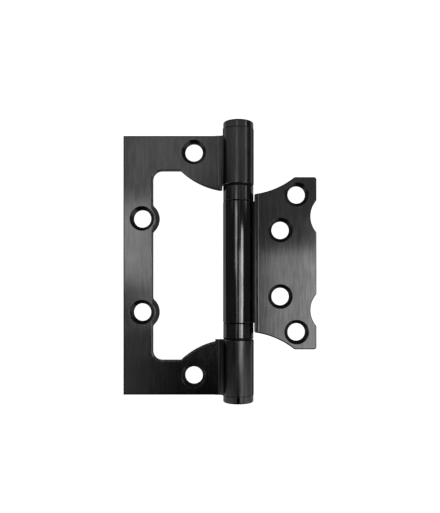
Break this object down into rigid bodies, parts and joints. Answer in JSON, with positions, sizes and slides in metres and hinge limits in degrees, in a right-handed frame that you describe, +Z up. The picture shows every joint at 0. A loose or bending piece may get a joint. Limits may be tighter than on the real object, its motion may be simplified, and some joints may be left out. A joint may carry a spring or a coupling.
{
  "type": "flush hinge",
  "caption": "Flush ball-bearing door hinge: a C-shaped frame leaf with end knuckles, and a door leaf that folds into its window.",
  "frame": {"origin": "on the pin's axis at the middle of the barrel", "axes": "+Z up along the pin, +X towards the door leaf of the hinge laid open, -Y out of the countersunk faces"},
  "size_m": [0.0746, 0.012, 0.1084],
  "materials": {
    "black_brushed_steel": "brushed, then black nickel plated, satin on the plates and glossy on the barrel",
    "black_gloss_steel": "turned, then black nickel plated, glossy",
    "ground_steel": "ground",
    "hardened_steel": "hardened and oil blackened, with a lapped race",
    "ball_steel": "mirror polished",
    "nylon": "moulded, natural"
  },
  "bodies": {
    "frame_side": {"outer_leaf": "black_brushed_steel", "hinge_pin": "ground_steel", "top_cap": "black_gloss_steel", "bottom_cap": "black_gloss_steel", "upper_race_washer": "hardened_steel", "lower_race_washer": "hardened_steel"},
    "door_side": {"inner_leaf": "black_brushed_steel", "upper_bearing_housing": "black_gloss_steel", "lower_bearing_housing": "black_gloss_steel"},
    "upper_cage": {"upper_ball_cage": "nylon", "upper_ball_1": "ball_steel", "upper_ball_2": "ball_steel", "upper_ball_3": "ball_steel", "upper_ball_4": "ball_steel", "upper_ball_5": "ball_steel", "upper_ball_6": "ball_steel", "upper_ball_7": "ball_steel", "upper_ball_8": "ball_steel"},
    "lower_cage": {"lower_ball_cage": "nylon", "lower_ball_1": "ball_steel", "lower_ball_2": "ball_steel", "lower_ball_3": "ball_steel", "lower_ball_4": "ball_steel", "lower_ball_5": "ball_steel", "lower_ball_6": "ball_steel", "lower_ball_7": "ball_steel", "lower_ball_8": "ball_steel"}
  },
  "joints": [
    {"name": "leaf_hinge", "type": "hinge", "parent": "frame_side", "child": "door_side", "pos_m": [0, 0, 0], "axis": [0, 0, 1], "range_deg": [-180, 90]},
    {"name": "upper_cage_turn", "type": "hinge", "parent": "frame_side", "child": "upper_cage", "pos_m": [0, 0, 0], "axis": [0, 0, 1], "range_deg": [-90, 45]},
    {"name": "lower_cage_turn", "type": "hinge", "parent": "frame_side", "child": "lower_cage", "pos_m": [0, 0, 0], "axis": [0, 0, 1], "range_deg": [-90, 45]}
  ],
  "couplings": [
    {"joint": "upper_cage_turn", "follows": "leaf_hinge", "ratio": 0.5},
    {"joint": "lower_cage_turn", "follows": "leaf_hinge", "ratio": 0.5}
  ]
}
